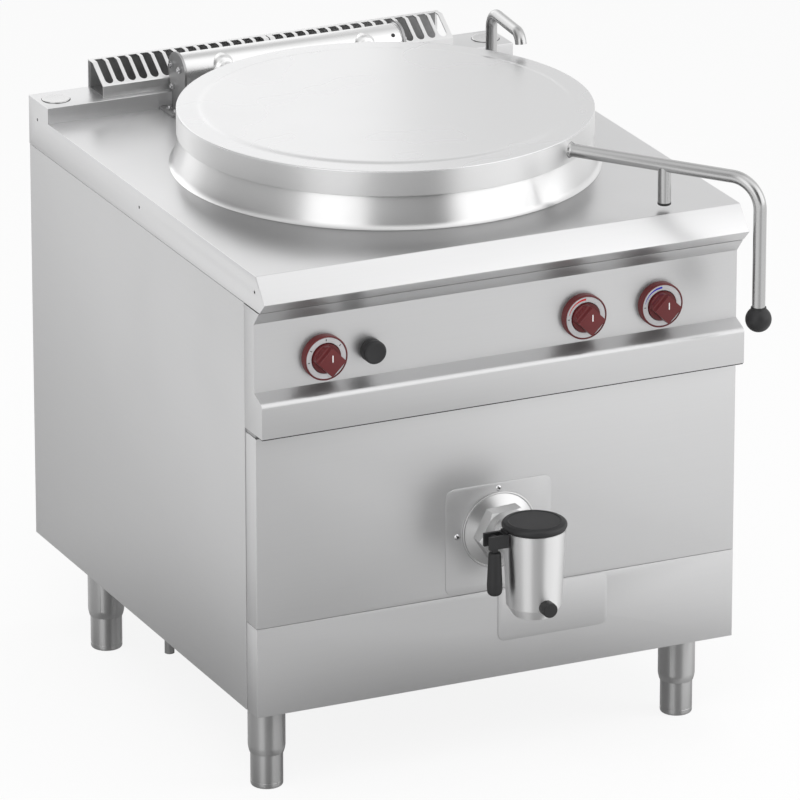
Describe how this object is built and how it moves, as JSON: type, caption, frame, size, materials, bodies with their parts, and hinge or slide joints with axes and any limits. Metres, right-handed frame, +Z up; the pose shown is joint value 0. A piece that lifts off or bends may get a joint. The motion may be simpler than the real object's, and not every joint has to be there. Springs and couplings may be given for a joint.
{
  "type": "boiling pan",
  "caption": "Gas boiling pan: round hinged-lid pan in a steel cabinet on screw feet, with front controls, drain tap, fill spout and flue grille.",
  "frame": {"origin": "on the floor under the middle of the part's bounding box", "axes": "+X to the right seen from the front, +Y to the back, +Z up; the front with the controls faces -Y"},
  "size_m": [0.8, 1.0456, 0.979],
  "materials": {
    "satin_steel": "satin brushed stainless steel",
    "bright_steel": "polished stainless steel",
    "chrome": "bright chrome plate",
    "galvanised": "galvanised steel, dull",
    "black_plastic": "black moulded plastic, satin",
    "red_plastic": "dark red moulded plastic, satin",
    "brass": "plain brass",
    "wool": "mineral wool blanket",
    "seal": "pale silicone seal",
    "burner_steel": "heat-dulled steel"
  },
  "bodies": {
    "cabinet": {"worktop": "satin_steel", "upstand_caps": "bright_steel", "control_panel": "satin_steel", "front_panel": "satin_steel", "plinth_panel": "satin_steel", "plinth_cover": "satin_steel", "left_side_panel": "satin_steel", "right_side_panel": "satin_steel", "back_panel": "galvanised", "base_frame": "galvanised", "inner_frame": "galvanised", "flue_duct": "galvanised", "flue_grille": "bright_steel", "pan_collar": "bright_steel", "pan_vessel": "bright_steel", "pan_strainer": "bright_steel", "heating_chamber": "galvanised", "insulation": "wool", "burner": "burner_steel", "gas_pipes": "galvanised", "gas_valve": "brass", "igniter_body": "black_plastic", "hot_water_valve": "brass", "cold_water_valve": "brass", "knob_bezels": "red_plastic", "water_pipes": "chrome", "spout_base": "chrome", "drain_pipe": "bright_steel", "tap_cover_plate": "satin_steel", "screws_and_bolts": "bright_steel", "tap_flange": "bright_steel", "tap_nut": "bright_steel", "tap_body": "bright_steel", "tap_boss": "black_plastic", "hinge_brackets": "bright_steel", "hinge_springs": "galvanised", "foot_sleeves": "chrome"},
    "lid": {"hinge_tube": "bright_steel", "lid": "bright_steel", "lid_gasket": "seal", "lid_handle": "bright_steel", "handle_caps": "black_plastic"},
    "gas_rotor": {"gas_valve_cone": "brass"},
    "gas_control": {"gas_spindle": "chrome", "gas_knob": "red_plastic"},
    "igniter": {"igniter_button": "black_plastic"},
    "hot_control": {"hot_spindle": "chrome", "hot_knob": "red_plastic"},
    "cold_control": {"cold_spindle": "chrome", "cold_knob": "red_plastic"},
    "spout_arm": {"spout": "chrome"},
    "tap_turn": {"tap_plug": "brass", "tap_cap": "black_plastic", "tap_bracket": "black_plastic", "tap_pin": "chrome"},
    "tap_handle": {"tap_lever": "black_plastic"},
    "front_left_foot": {"foot_front_left": "chrome"},
    "front_right_foot": {"foot_front_right": "chrome"},
    "back_left_foot": {"foot_back_left": "chrome"},
    "back_right_foot": {"foot_back_right": "chrome"}
  },
  "joints": [
    {"name": "lid_hinge", "type": "hinge", "parent": "cabinet", "child": "lid", "pos_m": [0, 0.42675, 0.911], "axis": [-1, 0, 0], "range_deg": [0, 90], "stiffness_Nm_per_rad": 20, "springref_deg": 90},
    {"name": "gas_turn", "type": "hinge", "parent": "cabinet", "child": "gas_rotor", "pos_m": [-0.288, -0.33725, 0.707], "axis": [0, -1, 0], "range_deg": [0, 150]},
    {"name": "gas_push", "type": "slide", "parent": "gas_rotor", "child": "gas_control", "axis": [0, 1, 0], "range_m": [0, 0.004], "stiffness_N_per_m": 2000, "springref_m": -0.004},
    {"name": "igniter_push", "type": "slide", "parent": "cabinet", "child": "igniter", "axis": [0, 1, 0], "range_m": [0, 0.005], "stiffness_N_per_m": 1500, "springref_m": -0.003},
    {"name": "hot_water_turn", "type": "hinge", "parent": "cabinet", "child": "hot_control", "pos_m": [0.14, -0.33725, 0.707], "axis": [0, -1, 0], "range_deg": [0, 135]},
    {"name": "cold_water_turn", "type": "hinge", "parent": "cabinet", "child": "cold_control", "pos_m": [0.268, -0.33725, 0.707], "axis": [0, -1, 0], "range_deg": [0, 135]},
    {"name": "spout_swivel", "type": "hinge", "parent": "cabinet", "child": "spout_arm", "pos_m": [0.312, 0.34075, 0.85], "axis": [0, 0, 1], "range_deg": [-95, 75]},
    {"name": "tap_turn", "type": "hinge", "parent": "cabinet", "child": "tap_turn", "pos_m": [0, -0.46475, 0.387], "axis": [0, 0, 1], "range_deg": [0, 90]},
    {"name": "tap_lever_lift", "type": "hinge", "parent": "tap_turn", "child": "tap_handle", "pos_m": [-0.0655, -0.46475, 0.4223], "axis": [0, 1, 0], "range_deg": [0, 90]},
    {"name": "front_left_screw", "type": "slide", "parent": "cabinet", "child": "front_left_foot", "axis": [0, 0, -1], "range_m": [0, 0.05]},
    {"name": "front_right_screw", "type": "slide", "parent": "cabinet", "child": "front_right_foot", "axis": [0, 0, -1], "range_m": [0, 0.05]},
    {"name": "back_left_screw", "type": "slide", "parent": "cabinet", "child": "back_left_foot", "axis": [0, 0, -1], "range_m": [0, 0.05]},
    {"name": "back_right_screw", "type": "slide", "parent": "cabinet", "child": "back_right_foot", "axis": [0, 0, -1], "range_m": [0, 0.05]}
  ]
}
